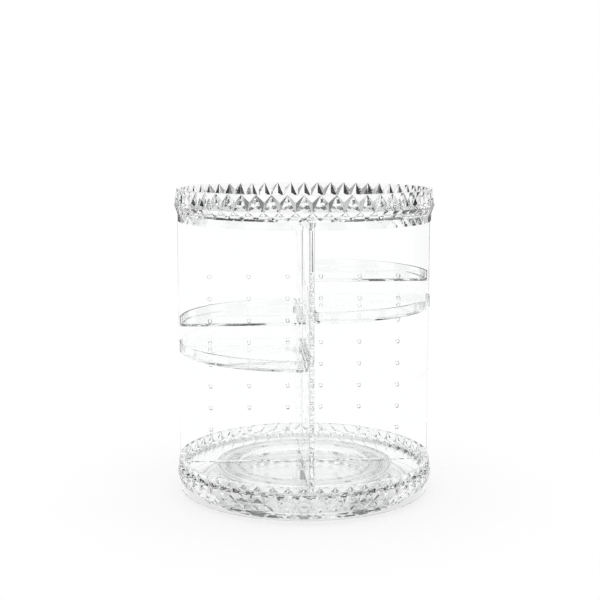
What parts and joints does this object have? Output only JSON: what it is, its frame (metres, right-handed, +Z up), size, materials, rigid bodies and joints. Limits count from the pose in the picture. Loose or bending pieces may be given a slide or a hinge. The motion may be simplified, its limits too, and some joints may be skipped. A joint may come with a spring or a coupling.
{
  "type": "rotating makeup organizer",
  "caption": "Clear round cosmetics organizer that turns on its foot: faceted base and top trays, crossed divider plates with peg holes, and quarter-round trays hung between them.",
  "frame": {"origin": "on the surface it stands on, on the turning axis", "axes": "+Z up along the turning axis, -Y towards the front, +X to the right"},
  "size_m": [0.2306, 0.231, 0.2745],
  "materials": {
    "clear_plastic": "water-clear moulded plastic, polished",
    "pad_rubber": "pale grey, matt",
    "race_plastic": "clear plastic, satin",
    "white_nylon": "white, smooth",
    "plated_steel": "zinc plated"
  },
  "bodies": {
    "foot": {"foot_disc": "clear_plastic", "foot_pads": "pad_rubber", "lower_race": "race_plastic", "pivot_bush": "white_nylon"},
    "ball_train": {"ball_cage": "race_plastic", "bearing_balls": "white_nylon"},
    "carousel": {"base_tray": "clear_plastic", "upper_race": "race_plastic", "pivot_screw": "plated_steel", "pivot_washer": "plated_steel", "divider_left_right": "clear_plastic", "divider_front_back": "clear_plastic", "pegs_front_left": "clear_plastic", "pegs_rear_left": "clear_plastic", "pegs_front_right": "clear_plastic", "pegs_rear_right": "clear_plastic"},
    "top_tray": {"top_tray": "clear_plastic"},
    "tray_front_left": {"tray_front_left": "clear_plastic"},
    "tray_rear_left": {"tray_rear_left": "clear_plastic"},
    "tray_front_right": {"tray_front_right": "clear_plastic"},
    "tray_rear_right": {"tray_rear_right": "clear_plastic"}
  },
  "joints": [
    {"name": "carousel_spin", "type": "hinge", "parent": "foot", "child": "carousel", "pos_m": [0, 0, 0.01425], "axis": [0, 0, 1], "continuous": true},
    {"name": "ball_train_spin", "type": "hinge", "parent": "foot", "child": "ball_train", "pos_m": [0, 0, 0.01425], "axis": [0, 0, 1], "continuous": true},
    {"name": "top_tray_lift", "type": "slide", "parent": "carousel", "child": "top_tray", "axis": [0, 0, 1], "range_m": [0, 0.04]},
    {"name": "tray_front_left_lift", "type": "slide", "parent": "carousel", "child": "tray_front_left", "axis": [0, 0, 1], "range_m": [0, 0.105]},
    {"name": "tray_rear_left_lift", "type": "slide", "parent": "carousel", "child": "tray_rear_left", "axis": [0, 0, 1], "range_m": [0, 0.085]},
    {"name": "tray_front_right_lift", "type": "slide", "parent": "carousel", "child": "tray_front_right", "axis": [0, 0, 1], "range_m": [0, 0.065]},
    {"name": "tray_rear_right_lift", "type": "slide", "parent": "carousel", "child": "tray_rear_right", "axis": [0, 0, 1], "range_m": [0, 0.045]}
  ],
  "couplings": [
    {"joint": "ball_train_spin", "follows": "carousel_spin", "ratio": 0.5}
  ]
}
